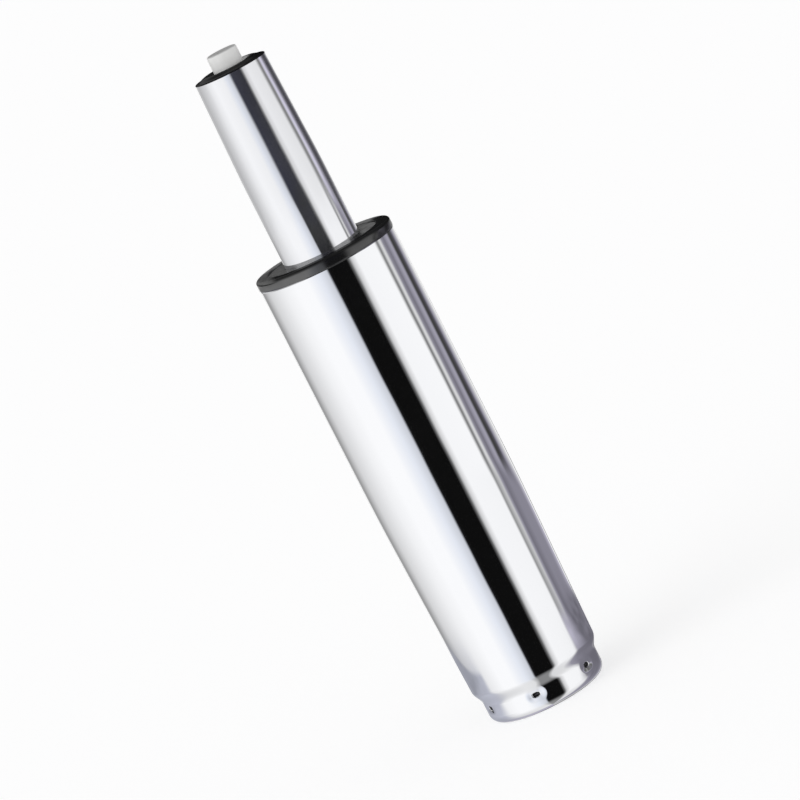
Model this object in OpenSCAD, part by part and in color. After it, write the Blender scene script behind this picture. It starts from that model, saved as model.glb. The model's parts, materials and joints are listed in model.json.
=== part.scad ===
// Chair gas lift: a tapered column tube with a gas spring that rises, swivels and is released by a button.
// The z axis is the lift's own axis. The foot stands on z = 0, and the spring is fully lowered.

/* [Column tube] */
// Outside diameter of the column tube
column_d = 50; // [46:0.5:60]
// Wall of the column tube
column_wall = 2; // [1.6:0.1:2.4]
// Length of the column tube
column_len = 170; // [160:1:230]
// Length of the taper that wedges into the chair base
foot_taper_len = 66; // [45:1:75]
// Half angle of the foot taper and of the seat taper, in degrees
taper_angle = 1.4378; // [1.2:0.0001:1.6]
// Height of the straight band at the foot
band_h = 8.8; // [8.6:0.1:12]
// Height of the neck between the band and the taper
neck_h = 5.2; // [3:0.1:7]
// How far the neck draws the tube in, on the radius
neck_step = 1.85; // [1:0.05:2.4]
// Outside radius of the rolled foot edge
foot_round = 3.5; // [3:0.1:4]
// Radius of the hole inside the rolled-in lip
lip_r = 14.5; // [13:0.1:15.5]

/* [Stake dents] */
// Number of dents round the foot band
dent_count = 6; // [3:1:8]
// Radius of the roll-shaped punch face that flattens the band round a dent
dent_roll_r = 6.9; // [5.5:0.1:8]
// How deep that flat is pressed
dent_flat = 0.35; // [0.2:0.05:0.45]
// Radius of the punch tip in the middle of a dent
dent_tip_r = 1.3; // [1:0.1:1.6]
// Depth of the tip's mark
dent_depth = 1.4; // [1:0.1:1.6]
// Metal left behind a dent
dent_wall = 1; // [0.8:0.1:1.1]
// Height of the dents above the foot
dent_z = 6.7; // [6.2:0.1:7.5]

/* [Base plate] */
// Thickness of the base plate
plate_t = 3; // [2.8:0.1:3.4]
// How far the middle of the plate is dished up
dish_h = 5; // [4.5:0.1:7]
// Radial run of the dish's sloping wall
dish_run = 2; // [1:0.1:2.6]
// Flat of the plate outside the lower race
dish_land = 0.8; // [0.4:0.1:1.2]

/* [Thrust bearing] */
// Diameter of a bearing ball
ball_d = 4; // [3.5:0.1:4.5]
// Number of balls
ball_count = 10; // [6:1:10]
// Race width between its bore and the balls
race_inner_land = 2.2; // [1.6:0.1:2.6]
// Race width outside the balls
race_outer_land = 1.8; // [1.2:0.1:2.4]
// Thickness of each race
race_t = 2.4; // [2:0.1:3]
// Free height between the two races
race_gap = 2.4; // [2.2:0.1:2.6]
// Thickness of the ball cage
cage_t = 1.8; // [1.4:0.1:1.9]

/* [Rod and clip] */
// Diameter of the piston rod
rod_d = 10; // [9:0.1:11]
// Width of the shoulder that rests on the upper race
rod_shoulder = 1; // [0.8:0.1:1.4]
// Depth of the clip groove
groove_depth = 1; // [0.6:0.1:1.2]
// Thickness of the retaining clip
clip_t = 1.15; // [0.8:0.05:1.3]
// Outside radius of the retaining clip
clip_r = 7.4; // [6.5:0.1:8]
// Thickness of the washer above the clip
clip_washer_t = 1.2; // [0.8:0.1:1.4]
// Outside radius of the washer above the clip
clip_washer_r = 8; // [7:0.1:8.5]
// Length of the rod's tail below the clip
rod_tail = 1.6; // [1:0.1:1.8]
// Height of the rubber bumper
bumper_h = 10; // [6:0.5:14]
// Outside diameter of the rubber bumper
bumper_d = 22; // [18:0.5:24]

/* [Piston] */
// Height of the piston
piston_h = 11; // [8:0.5:14]
// Height of the piston's seal groove
piston_groove_h = 3.2; // [2.4:0.1:4]
// Depth of the piston's seal groove
piston_groove_depth = 2; // [1.5:0.1:2.4]
// Radius of the spigot that carries the piston
piston_spigot_r = 3; // [2.5:0.1:3.5]
// Thickness of the washer on the piston
piston_washer_t = 1.2; // [0.8:0.1:1.6]
// Height of the riveted rod end
rivet_h = 2; // [1.5:0.1:2.5]
// Wall of the sleeve that ends the upward stroke
stop_wall = 2.6; // [1.5:0.1:3]

/* [Cylinder] */
// Outside diameter of the gas spring cylinder
cylinder_d = 28; // [27:0.1:30]
// Wall of the cylinder below its taper
cylinder_wall = 2.5; // [2.2:0.1:2.8]
// Length of the taper that wedges into the seat mechanism
seat_taper_len = 38; // [30:1:45]
// Length of cylinder that stands out of the collar when lowered
exposed_len = 69; // [60:0.1:90]
// How far the cylinder rises
stroke = 80; // [60:1:100]
// Outside radius of the cylinder's rolled lower edge
cylinder_round = 2; // [1:0.1:2.2]
// Radius of the hole in the cylinder's rolled-in end
cylinder_lip_r = 8.5; // [7:0.1:9.5]
// Height of the rod guide
guide_h = 12; // [8:0.5:15]
// Height of the rod seal
seal_h = 6; // [4:0.5:8]
// Thickness of the washer above the rod seal
seal_washer_t = 1.5; // [1:0.1:2]
// Height of the tube seat's floor
seat_floor_h = 4; // [3:0.1:5]
// Depth of the socket that holds the inner tube
seat_socket_h = 4; // [3:0.1:6]
// Gas gap between the inner tube and the cylinder
gas_gap = 1.5; // [1.2:0.1:1.8]
// Wall of the inner tube
inner_wall = 1.2; // [0.8:0.1:1.4]

/* [Valve] */
// Thickness of the top cap's edge
cap_edge_t = 0.4; // [0.3:0.05:2]
// Radius that rounds the top cap's edge
cap_round = 0.25; // [0.1:0.05:0.3]
// Width of the flat rim round the top cap's face
cap_rim_w = 0.8; // [0.4:0.1:2]
// How deep the top cap's face is dished towards the button
cap_dish = 1.2; // [0.2:0.1:2]
// Depth of the top cap's plug
cap_plug_h = 5; // [3:0.5:7]
// Height of the valve body between its chamber and its gallery
valve_body_h = 22; // [18:0.5:26]
// Height of the gas gallery under the valve body
gallery_h = 4; // [3:0.1:5]
// Length of the spigot that plugs into the inner tube
valve_spigot_h = 8; // [6:0.5:10]
// Wall of the cup that the button's flange moves in
chamber_wall = 3.4; // [2.5:0.1:3.6]
// Radius of the valve pin
pin_r = 2.5; // [2:0.1:2.8]
// Gas gap round the valve pin
pin_gas_gap = 0.9; // [0.6:0.1:1]
// Height of the valve pin's head
pin_head_h = 3; // [2:0.1:4]
// How far the valve pin's head stands out past its seat
pin_head_step = 0.8; // [0.5:0.1:1]
// Diameter of each gas port in the gallery
port_d = 2; // [1.5:0.1:2.5]
// Number of gas ports
port_count = 4; // [2:1:6]
// Thickness of the valve body's O-rings
ring_d = 1.9; // [1.4:0.1:2.2]
// Thickness of the spigot's O-ring
spigot_ring_d = 1.4; // [1:0.1:1.6]
// Thickness of the valve seat's seal
seat_seal_d = 1.4; // [1:0.1:1.6]
// Thickness of the stem seal
stem_seal_d = 1.8; // [1.4:0.1:2]
// Thickness of the washer above the stem seal
gland_t = 1.2; // [0.8:0.1:1.6]

/* [Release button] */
// Diameter of the button
button_d = 11; // [8:0.1:11]
// How far the button stands out of the top cap
button_out = 6.5; // [5:0.1:9]
// How far the button is pressed
button_travel = 4; // [2.5:0.1:5]
// Width of the flange that keeps the button in
button_flange_w = 2; // [1.2:0.1:2.2]
// Thickness of that flange
button_flange_t = 2; // [1.5:0.1:3]
// Radius that rounds the button's top edge
button_round = 0.8; // [0.3:0.1:1.5]

/* [Collar and guide sleeve] */
// Height of the collar above the column tube
collar_h = 3.6; // [3:0.1:6]
// How far the collar stands out past the tube
collar_overhang = 0.3; // [0.2:0.1:1.5]
// Radius that rounds the collar's edges
collar_round = 1.2; // [0.5:0.1:1.4]
// Width of the collar's raised rim
collar_rim_w = 4.8; // [4.5:0.1:5.6]
// Depth of the recess inside the collar's rim
collar_recess = 0.5; // [0.3:0.1:2]
// Depth of the collar's skirt inside the tube
skirt_h = 10; // [6:0.5:16]
// Wall of the collar's skirt and of the sleeve's outer ring
skirt_wall = 1.8; // [1.4:0.1:1.9]
// Wall of the guide sleeve round the cylinder
sleeve_wall = 2.4; // [1.8:0.1:3]
// Thickness of the guide sleeve's top disc
sleeve_disc_t = 3; // [2:0.1:5]
// Number of ribs in the guide sleeve
rib_count = 10; // [6:1:14]
// Thickness of a rib
rib_t = 2; // [1.5:0.1:2.5]

/* [Clearances] */
// Radial gap between pieces that are seated in one another
fit_gap = 0.1; // [0.05:0.01:0.15]
// Radial gap between pieces that run on one another
run_gap = 0.06; // [0.03:0.01:0.1]
// Free gap along the axis where a moving piece stops
stop_gap = 0.3; // [0.2:0.05:0.4]

/* [Hidden] */
$fn = 96;

// Column, from the foot up
column_r = column_d / 2;
column_bore_r = column_r - column_wall;
taper_z = band_h + neck_h;
straight_z = taper_z + foot_taper_len;
foot_r = column_r - foot_taper_len * tan(taper_angle);
band_r = foot_r - neck_step;
band_bore_r = band_r - column_wall;
foot_flat_r = band_r - foot_round;
dent_tip_centre_r = band_r + dent_tip_r - dent_depth;

// Rod diameters that the bearing and the clip follow
rod_r = rod_d / 2;
tail_r = rod_r - rod_shoulder;
groove_r = tail_r - groove_depth;

// Bearing
ball_r = ball_d / 2;
race_bore_r = tail_r + fit_gap;
ball_circle_r = race_bore_r + race_inner_land + ball_r;
race_r = ball_circle_r + ball_r + race_outer_land;
race_track_r = ball_r + fit_gap;
cage_r = ball_circle_r + ball_r + race_outer_land / 2;
cage_bore_r = ball_circle_r - ball_r - race_inner_land / 2;

// Base plate
plate_z = column_wall;
plate_r = band_bore_r - fit_gap;
plate_corner = foot_round - column_wall + fit_gap;
plate_bore_r = tail_r + run_gap;
dish_r = race_r + dish_land;
dish_under_z = plate_z + dish_h;
dish_top_z = dish_under_z + plate_t;

// Stack on the plate
lower_race_z = dish_top_z;
ball_z = lower_race_z + race_t + race_gap / 2;
upper_race_z = lower_race_z + race_t + race_gap;
shoulder_z = upper_race_z + race_t;
bumper_r = bumper_d / 2;
bumper_top_z = shoulder_z + bumper_h;

// Clip stack under the plate
clip_washer_z = dish_under_z - stop_gap - clip_washer_t;
clip_z = clip_washer_z - fit_gap - clip_t;
tail_z = clip_z - fit_gap - rod_tail;

// Cylinder
cylinder_r = cylinder_d / 2;
cylinder_bore_r = cylinder_r - cylinder_wall;
cylinder_seat_r = cylinder_bore_r - fit_gap;
cylinder_z = bumper_top_z + stop_gap;
cylinder_top_z = column_len + collar_h + exposed_len - cap_edge_t;
cylinder_top_r = cylinder_r - seat_taper_len * tan(taper_angle);
guide_z = cylinder_z + cylinder_wall;
seal_z = guide_z + guide_h;
seal_washer_z = seal_z + seal_h;
tube_seat_z = seal_washer_z + seal_washer_t;
inner_tube_z = tube_seat_z + seat_floor_h;
inner_tube_r = cylinder_bore_r - gas_gap;
inner_bore_r = inner_tube_r - inner_wall;
rod_bore_r = rod_r + run_gap;

// Valve and button, from the top down
cap_top_z = cylinder_top_z + cap_edge_t;
plug_z = cylinder_top_z - cap_plug_h;
button_r = button_d / 2;
button_bore_r = button_r + fit_gap;
button_top_z = cap_top_z + button_out;
button_flange_r = button_r + button_flange_w;
button_z = plug_z - stop_gap - button_flange_t;
chamber_z = button_z - button_travel - stop_gap;
chamber_r = cylinder_seat_r - chamber_wall;
body_z = chamber_z - valve_body_h;
inner_tube_top_z = body_z - gallery_h;
valve_z = inner_tube_top_z - valve_spigot_h;
gallery_r = inner_tube_r - fit_gap / 2;
spigot_r = inner_bore_r - fit_gap;
pin_bore_r = pin_r + run_gap;
pin_port_r = pin_r + pin_gas_gap;
pin_head_top_z = valve_z - fit_gap;
pin_head_r = pin_port_r + pin_head_step + seat_seal_d / 2;
pin_head_z = pin_head_top_z - pin_head_h;
stem_seal_pocket_r = pin_r + stem_seal_d + 2 * fit_gap;
stem_seal_z = chamber_z - gland_t - stem_seal_d / 2 - fit_gap;
seat_seal_circle_r = pin_port_r + fit_gap + seat_seal_d / 2;

// Piston, which the pressed valve pin must clear
rod_top_z = pin_head_z - button_travel - 2 * stop_gap;
piston_washer_z = rod_top_z - rivet_h - piston_washer_t;
piston_z = piston_washer_z - piston_h;
piston_r = inner_bore_r - fit_gap;
piston_groove_r = piston_r - piston_groove_depth;
piston_groove_z = piston_z + (piston_h - piston_groove_h) / 2;
stop_z = inner_tube_z + stroke + stop_gap;

// Guide sleeve and collar
sleeve_z = straight_z + fit_gap;
sleeve_bore_r = cylinder_r + run_gap;
sleeve_r = sleeve_bore_r + sleeve_wall;
sleeve_ring_r = column_bore_r - fit_gap;
sleeve_top_z = column_len + collar_h - collar_recess;
skirt_z = column_len - skirt_h;
collar_r = column_r + collar_overhang;
collar_bore_r = collar_r - collar_rim_w;

// Colours
CHROME = [0.86, 0.87, 0.89];
BLACK = [0.06, 0.06, 0.065];
DARK_GREY = [0.2, 0.2, 0.2];
NYLON = [0.86, 0.86, 0.83];
ZINC = [0.66, 0.67, 0.66];
STEEL = [0.55, 0.56, 0.58];
RUBBER = [0.09, 0.09, 0.09];
ALLOY = [0.72, 0.72, 0.7];
PLASTIC = [0.8, 0.78, 0.7];

// Points along an arc about a centre, both angles in degrees
function arc(centre, radius, from, to, steps = 8) =
    [for (i = [0:steps]) centre + radius * [cos(from + (to - from) * i / steps),
                                            sin(from + (to - from) * i / steps)]];

// Points of a smooth S from one radius and height to another, with level tangents at both ends
function neck_curve(low_r, low_z, high_r, high_z, steps = 10) =
    [for (i = [0:steps]) [low_r + (high_r - low_r) * (1 - cos(180 * i / steps)) / 2,
                          low_z + (high_z - low_z) * i / steps]];

function reversed(points) = [for (i = [len(points) - 1:-1:0]) points[i]];

// A solid turned about the axis from an outline of [radius, height] points
module turned(points) {
    rotate_extrude() polygon(points);
}

// A plain washer or tube
module washer(bore_r, outside_r, z, h) {
    rotate_extrude() translate([bore_r, z]) square([outside_r - bore_r, h]);
}

// A washer with its four edges bevelled
module bevelled_washer(bore_r, outside_r, z, h, bevel) {
    turned([[bore_r + bevel, z], [outside_r - bevel, z], [outside_r, z + bevel],
            [outside_r, z + h - bevel], [outside_r - bevel, z + h], [bore_r + bevel, z + h],
            [bore_r, z + h - bevel], [bore_r, z + bevel]]);
}

// A round-section ring
module o_ring(circle_r, z, section_d) {
    rotate_extrude() translate([circle_r, z]) circle(d = section_d);
}

// Copies of the children turned evenly about the axis
module around(count) {
    for (i = [0:count - 1]) rotate(360 * i / count) children();
}

// Wall of the column tube before the dents are punched
module column_shell() {
    outside = concat([[lip_r, 0]],
                     arc([foot_flat_r, foot_round], foot_round, -90, 0),
                     neck_curve(band_r, band_h, foot_r, taper_z),
                     [[column_r, straight_z], [column_r, column_len]]);
    inside = concat([[lip_r, column_wall]],
                    arc([foot_flat_r, foot_round], foot_round - column_wall, -90, 0),
                    neck_curve(band_bore_r, band_h, foot_r - column_wall, taper_z),
                    [[column_bore_r, straight_z], [column_bore_r, column_len]]);
    turned(concat(outside, reversed(inside)));
}

// Balls at the places of the punch tips
module dent_tips(radius) {
    around(dent_count) translate([dent_tip_centre_r, 0, dent_z]) sphere(radius);
}

// Rolls at the places where the punch flattens the band
module dent_rolls() {
    around(dent_count) translate([band_r + dent_roll_r - dent_flat, 0, dent_z])
        rotate([90, 0, 0]) cylinder(r = dent_roll_r, h = 2 * dent_roll_r, center = true);
}

module outer_tube() {
    color(CHROME) difference() {
        union() {
            column_shell();
            intersection() {
                dent_tips(dent_tip_r + dent_wall);
                translate([0, 0, foot_round])
                    cylinder(r = band_r - column_wall / 2, h = band_h - foot_round);
            }
        }
        dent_rolls();
        dent_tips(dent_tip_r);
    }
}

module base_plate() {
    wall_run = 0.8 * plate_t;
    color(ZINC) turned([
        [plate_bore_r, dish_under_z], [dish_r - wall_run, dish_under_z],
        [dish_r - wall_run + dish_run, plate_z], [foot_flat_r, plate_z],
        [plate_r, plate_z + plate_corner], [plate_r, plate_z + plate_t],
        [dish_r + dish_run, plate_z + plate_t], [dish_r, dish_top_z], [plate_bore_r, dish_top_z]]);
}

// A bearing race with the ball track cut into one face
module race(z) {
    difference() {
        bevelled_washer(race_bore_r, race_r, z, race_t, fit_gap * 3);
        o_ring(ball_circle_r, ball_z, 2 * race_track_r);
    }
}

module lower_race() {
    color(STEEL) race(lower_race_z);
}

module upper_race() {
    color(STEEL) race(upper_race_z);
}

module bearing_balls() {
    color(STEEL) around(ball_count) translate([ball_circle_r, 0, ball_z]) sphere(ball_r);
}

module bearing_cage() {
    color(PLASTIC) difference() {
        washer(cage_bore_r, cage_r, ball_z - cage_t / 2, cage_t);
        around(ball_count)
            translate([ball_circle_r, 0, ball_z]) cylinder(r = race_track_r, h = 2 * cage_t, center = true);
    }
}

// Floor plan of the hollows between the guide sleeve's ribs
module sleeve_hollows(inside_r, outside_r) {
    difference() {
        circle(outside_r);
        circle(inside_r);
        around(rib_count) translate([0, -rib_t / 2]) square([outside_r, rib_t]);
    }
}

module guide_sleeve() {
    ring_top_z = skirt_z - fit_gap;
    ring_bore_r = sleeve_ring_r - skirt_wall;
    disc_r = collar_bore_r - fit_gap;
    disc_z = sleeve_top_z - sleeve_disc_t;
    color(DARK_GREY) difference() {
        turned([[sleeve_bore_r, sleeve_z], [sleeve_ring_r, sleeve_z], [sleeve_ring_r, ring_top_z],
                [sleeve_r, ring_top_z], [sleeve_r, disc_z], [disc_r, disc_z],
                [disc_r, sleeve_top_z], [sleeve_bore_r, sleeve_top_z]]);
        translate([0, 0, sleeve_z - sleeve_wall])
            linear_extrude(ring_top_z - sleeve_z) sleeve_hollows(sleeve_r, ring_bore_r);
    }
}

module collar_ring() {
    collar_top_z = column_len + collar_h;
    lower_round = collar_round / 2;
    bore_round = collar_recess / 2;
    color(BLACK) turned(concat(
        [[sleeve_ring_r - skirt_wall, skirt_z], [sleeve_ring_r, skirt_z], [sleeve_ring_r, column_len]],
        arc([collar_r - lower_round, column_len + lower_round], lower_round, -90, 0),
        arc([collar_r - collar_round, collar_top_z - collar_round], collar_round, 0, 90),
        arc([collar_bore_r + bore_round, collar_top_z - bore_round], bore_round, 90, 180),
        [[collar_bore_r, column_len - skirt_wall],
         [sleeve_ring_r - skirt_wall, column_len - 2 * skirt_wall]]));
}

module piston_rod() {
    tip = rod_shoulder / 2;
    rivet_r = piston_spigot_r + rod_shoulder;
    color(STEEL) turned([
        [0, tail_z], [tail_r - tip, tail_z], [tail_r, tail_z + tip],
        [tail_r, clip_z - fit_gap], [groove_r, clip_z - fit_gap],
        [groove_r, clip_washer_z], [tail_r, clip_washer_z],
        [tail_r, shoulder_z], [rod_r, shoulder_z], [rod_r, piston_z],
        [piston_spigot_r, piston_z], [piston_spigot_r, rod_top_z - rivet_h],
        [rivet_r, rod_top_z - rivet_h], [rivet_r, rod_top_z - rivet_h / 2],
        [piston_spigot_r, rod_top_z], [0, rod_top_z]]);
}

module bumper() {
    edge = bumper_h / 5;
    bore_r = rod_r + fit_gap;
    color(RUBBER) turned(concat(
        [[bore_r, shoulder_z]],
        arc([bumper_r - edge, shoulder_z + edge], edge, -90, 0),
        arc([bumper_r - edge, bumper_top_z - edge], edge, 0, 90),
        [[bore_r, bumper_top_z]]));
}

module clip_washer() {
    color(ZINC) washer(tail_r + fit_gap, clip_washer_r, clip_washer_z, clip_washer_t);
}

// A stamped clip with two prongs that slides sideways into the rod's groove
module retaining_clip() {
    slot_r = groove_r + fit_gap;
    notch_r = clip_r / 5;
    color(STEEL) translate([0, 0, clip_z]) linear_extrude(clip_t) difference() {
        circle(clip_r);
        circle(slot_r);
        translate([-slot_r, 0]) square([2 * slot_r, 2 * clip_r]);
        for (side = [-1, 1]) translate([side * clip_r, 0]) circle(notch_r);
        translate([0, -clip_r]) circle(notch_r);
    }
}

module stop_sleeve() {
    bore_r = rod_r + fit_gap;
    color(PLASTIC) washer(bore_r, bore_r + stop_wall, stop_z, piston_z - stop_z);
}

module piston() {
    bore_r = piston_spigot_r + fit_gap;
    color(ALLOY) turned([
        [bore_r, piston_z], [piston_r, piston_z],
        [piston_r, piston_groove_z], [piston_groove_r, piston_groove_z],
        [piston_groove_r, piston_groove_z + piston_groove_h], [piston_r, piston_groove_z + piston_groove_h],
        [piston_r, piston_washer_z], [bore_r, piston_washer_z]]);
}

module piston_seal() {
    color(RUBBER) bevelled_washer(piston_groove_r + fit_gap, inner_bore_r - run_gap,
                                  piston_groove_z + fit_gap, piston_groove_h - 2 * fit_gap, fit_gap * 3);
}

module piston_washer() {
    color(ZINC) washer(piston_spigot_r + fit_gap, piston_groove_r, piston_washer_z, piston_washer_t);
}

module cylinder_tube() {
    color(CHROME) turned(concat(
        [[cylinder_lip_r, cylinder_z]],
        arc([cylinder_r - cylinder_round, cylinder_z + cylinder_round], cylinder_round, -90, 0),
        [[cylinder_r, cylinder_top_z - seat_taper_len], [cylinder_top_r, cylinder_top_z],
         [cylinder_bore_r, cylinder_top_z], [cylinder_bore_r, guide_z], [cylinder_lip_r, guide_z]]));
}

module rod_guide() {
    color(ALLOY) bevelled_washer(rod_bore_r, cylinder_seat_r, guide_z, guide_h, fit_gap * 4);
}

// A cup seal whose two lips open towards the gas
module rod_seal() {
    lip_w = (cylinder_seat_r - rod_bore_r) / 4;
    color(RUBBER) turned([
        [rod_bore_r, seal_z], [cylinder_seat_r, seal_z], [cylinder_seat_r, seal_washer_z],
        [cylinder_seat_r - lip_w, seal_washer_z], [(cylinder_seat_r + rod_bore_r) / 2, seal_z + seal_h / 2],
        [rod_bore_r + lip_w, seal_washer_z], [rod_bore_r, seal_washer_z]]);
}

module seal_washer() {
    color(ZINC) washer(rod_r + 3 * fit_gap, cylinder_seat_r, seal_washer_z, seal_washer_t);
}

// A ring that holds the inner tube in the middle and lets gas pass through slots in its wall
module tube_seat() {
    slot_w = cylinder_seat_r / 3;
    bore_r = rod_r + 3 * fit_gap;
    socket_r = inner_tube_r + fit_gap;
    socket_top_z = inner_tube_z + seat_socket_h;
    color(PLASTIC) difference() {
        turned([[bore_r, tube_seat_z], [cylinder_seat_r, tube_seat_z], [cylinder_seat_r, socket_top_z],
                [socket_r, socket_top_z], [socket_r, inner_tube_z], [bore_r, inner_tube_z]]);
        around(port_count)
            translate([inner_tube_r, -slot_w / 2, inner_tube_z])
                cube([2 * gas_gap, slot_w, 2 * seat_socket_h]);
    }
}

module inner_tube() {
    color(STEEL) washer(inner_bore_r, inner_tube_r, inner_tube_z, inner_tube_top_z - inner_tube_z);
}

// Groove floor radius and centre circle of a ring that is carried on the outside of a turned piece
function carried_circle_r(outside_r, section_d) = outside_r - section_d / 2;
function carried_floor_r(outside_r, section_d) = outside_r - section_d - fit_gap;

function valve_ring_z(i) = body_z + valve_body_h * (0.22 + 0.36 * i);
spigot_ring_z = valve_z + valve_spigot_h / 2;

module groove_cut(outside_r, z, section_d) {
    washer(carried_floor_r(outside_r, section_d), outside_r + section_d, z - section_d / 2 - fit_gap,
           section_d + 2 * fit_gap);
}

module valve_body() {
    color(ALLOY) difference() {
        turned([
            [pin_port_r, valve_z], [spigot_r, valve_z], [spigot_r, inner_tube_top_z],
            [gallery_r, inner_tube_top_z], [gallery_r, body_z], [cylinder_seat_r, body_z],
            [cylinder_seat_r, plug_z], [chamber_r, plug_z], [chamber_r, chamber_z],
            [stem_seal_pocket_r, chamber_z], [stem_seal_pocket_r, stem_seal_z - stem_seal_d / 2 - fit_gap],
            [pin_bore_r, stem_seal_z - stem_seal_d / 2 - fit_gap], [pin_bore_r, body_z],
            [pin_port_r, body_z]]);
        for (i = [0, 1]) groove_cut(cylinder_seat_r, valve_ring_z(i), ring_d);
        groove_cut(spigot_r, spigot_ring_z, spigot_ring_d);
        washer(pin_r, seat_seal_circle_r + seat_seal_d / 2 + fit_gap, valve_z, seat_seal_d + fit_gap);
        around(port_count)
            translate([0, 0, body_z - gallery_h / 2]) rotate([0, 90, 0]) cylinder(d = port_d, h = cylinder_r);
    }
}

module valve_o_rings() {
    color(RUBBER) for (i = [0, 1]) o_ring(carried_circle_r(cylinder_seat_r, ring_d), valve_ring_z(i), ring_d);
}

module spigot_o_ring() {
    color(RUBBER) o_ring(carried_circle_r(spigot_r, spigot_ring_d), spigot_ring_z, spigot_ring_d);
}

module seat_seal() {
    color(RUBBER) o_ring(seat_seal_circle_r, valve_z + seat_seal_d / 2, seat_seal_d);
}

module stem_seal() {
    color(RUBBER) o_ring(pin_r + fit_gap + stem_seal_d / 2, stem_seal_z, stem_seal_d);
}

module gland_washer() {
    color(ZINC) washer(pin_bore_r, stem_seal_pocket_r - fit_gap, chamber_z - gland_t, gland_t);
}

module top_cap() {
    color(BLACK) turned(concat(
        [[button_bore_r, plug_z], [cylinder_seat_r, plug_z], [cylinder_seat_r, cylinder_top_z],
         [cylinder_top_r, cylinder_top_z]],
        arc([cylinder_top_r - cap_round, cap_top_z - cap_round], cap_round, 0, 90),
        [[cylinder_top_r - cap_rim_w, cap_top_z], [button_bore_r, cap_top_z - cap_dish]]));
}

module release_button() {
    color(NYLON) turned(concat(
        [[0, button_z], [button_flange_r, button_z], [button_flange_r, button_z + button_flange_t],
         [button_r, button_z + button_flange_t]],
        arc([button_r - button_round, button_top_z - button_round], button_round, 0, 90),
        [[0, button_top_z]]));
}

module valve_pin() {
    color(STEEL) turned([
        [0, pin_head_z], [pin_head_r - pin_head_step, pin_head_z], [pin_head_r, pin_head_z + pin_head_step],
        [pin_head_r, pin_head_top_z], [pin_r, pin_head_top_z], [pin_r, button_z], [0, button_z]]);
}

outer_tube();
base_plate();
lower_race();
guide_sleeve();
collar_ring();
bearing_cage();
bearing_balls();
piston_rod();
upper_race();
bumper();
clip_washer();
retaining_clip();
stop_sleeve();
piston();
piston_seal();
piston_washer();
cylinder_tube();
rod_guide();
rod_seal();
seal_washer();
tube_seat();
inner_tube();
valve_body();
valve_o_rings();
spigot_o_ring();
seat_seal();
stem_seal();
gland_washer();
top_cap();
release_button();
valve_pin();
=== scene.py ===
# %% [markdown]
# # A chair gas lift in Blender
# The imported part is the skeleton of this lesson: thirty-one nodes on five bodies, in metres, standing on
# z = 0 with the axis on Z. The pieces that an eye can reach are modelled again with softer edges and finer
# curves, and every piece gets a finish made of shader nodes. Nothing is fitted by eye, because the frame
# already says where each piece goes.

# %% Load the frame and keep its box
import json
import math
import bpy
from mathutils import Matrix, Vector

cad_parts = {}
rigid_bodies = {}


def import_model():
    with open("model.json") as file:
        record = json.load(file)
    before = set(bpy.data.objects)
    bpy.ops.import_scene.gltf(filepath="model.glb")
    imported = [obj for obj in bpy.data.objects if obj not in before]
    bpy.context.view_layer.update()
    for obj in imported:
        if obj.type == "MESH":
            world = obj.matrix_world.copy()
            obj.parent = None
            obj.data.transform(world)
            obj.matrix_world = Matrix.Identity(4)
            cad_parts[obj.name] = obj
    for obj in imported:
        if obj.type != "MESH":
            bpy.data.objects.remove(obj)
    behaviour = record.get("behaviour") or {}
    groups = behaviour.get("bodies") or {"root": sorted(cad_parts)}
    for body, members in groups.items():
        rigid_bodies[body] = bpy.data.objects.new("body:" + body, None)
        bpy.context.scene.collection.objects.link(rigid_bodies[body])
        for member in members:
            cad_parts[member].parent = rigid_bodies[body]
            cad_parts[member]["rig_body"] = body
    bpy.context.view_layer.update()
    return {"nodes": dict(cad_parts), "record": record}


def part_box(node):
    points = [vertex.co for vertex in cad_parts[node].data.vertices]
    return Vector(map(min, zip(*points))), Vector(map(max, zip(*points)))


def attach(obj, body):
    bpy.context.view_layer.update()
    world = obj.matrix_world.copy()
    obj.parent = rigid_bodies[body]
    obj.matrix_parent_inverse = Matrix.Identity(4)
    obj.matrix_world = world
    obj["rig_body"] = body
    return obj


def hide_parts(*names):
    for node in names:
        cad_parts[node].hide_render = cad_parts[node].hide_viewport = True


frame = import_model()
nodes = frame["nodes"]
scene = bpy.context.scene

# %% [markdown]
# ## The camera
# The photographer stood about eight object lengths away, a little above the lift, and the picture was
# turned so that the lift leans to the left. A long lens that far off keeps the tube's sides almost
# parallel. The lean is a roll of the camera and not a tilt of the part, so the part keeps standing in its
# own frame.

# %% Place the camera
CAMERA_TURN = math.radians(-19.5)
CAMERA_RISE = math.radians(9.0)
CAMERA_LEAN = math.radians(27.02)
CAMERA_AWAY, SIGHT_END = 2.0, 100
CAMERA_LENS, SENSOR_WIDTH = 264.3, 36
AIM_HEIGHT, AIM_ASIDE = 0.11517, 0.0004

sideways = Vector((math.cos(CAMERA_TURN), math.sin(CAMERA_TURN), 0))
towards = Vector((math.sin(CAMERA_TURN) * math.cos(CAMERA_RISE),
                  -math.cos(CAMERA_TURN) * math.cos(CAMERA_RISE),
                  math.sin(CAMERA_RISE)))
upwards = towards.cross(sideways)
picture_right = math.cos(CAMERA_LEAN) * sideways - math.sin(CAMERA_LEAN) * upwards
picture_up = math.sin(CAMERA_LEAN) * sideways + math.cos(CAMERA_LEAN) * upwards

bpy.ops.object.select_all(action="DESELECT")
bpy.ops.object.camera_add()
camera = bpy.context.object
camera.data.sensor_width = SENSOR_WIDTH
camera.data.lens = CAMERA_LENS
camera.data.clip_end = SIGHT_END
aim = Vector((0, 0, AIM_HEIGHT)) + AIM_ASIDE * sideways
camera.matrix_world = (Matrix.Translation(aim + CAMERA_AWAY * towards)
                       @ Matrix((picture_right, picture_up, towards)).transposed().to_4x4())
scene.camera = camera
print("camera at", [round(v, 3) for v in camera.location])

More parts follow.
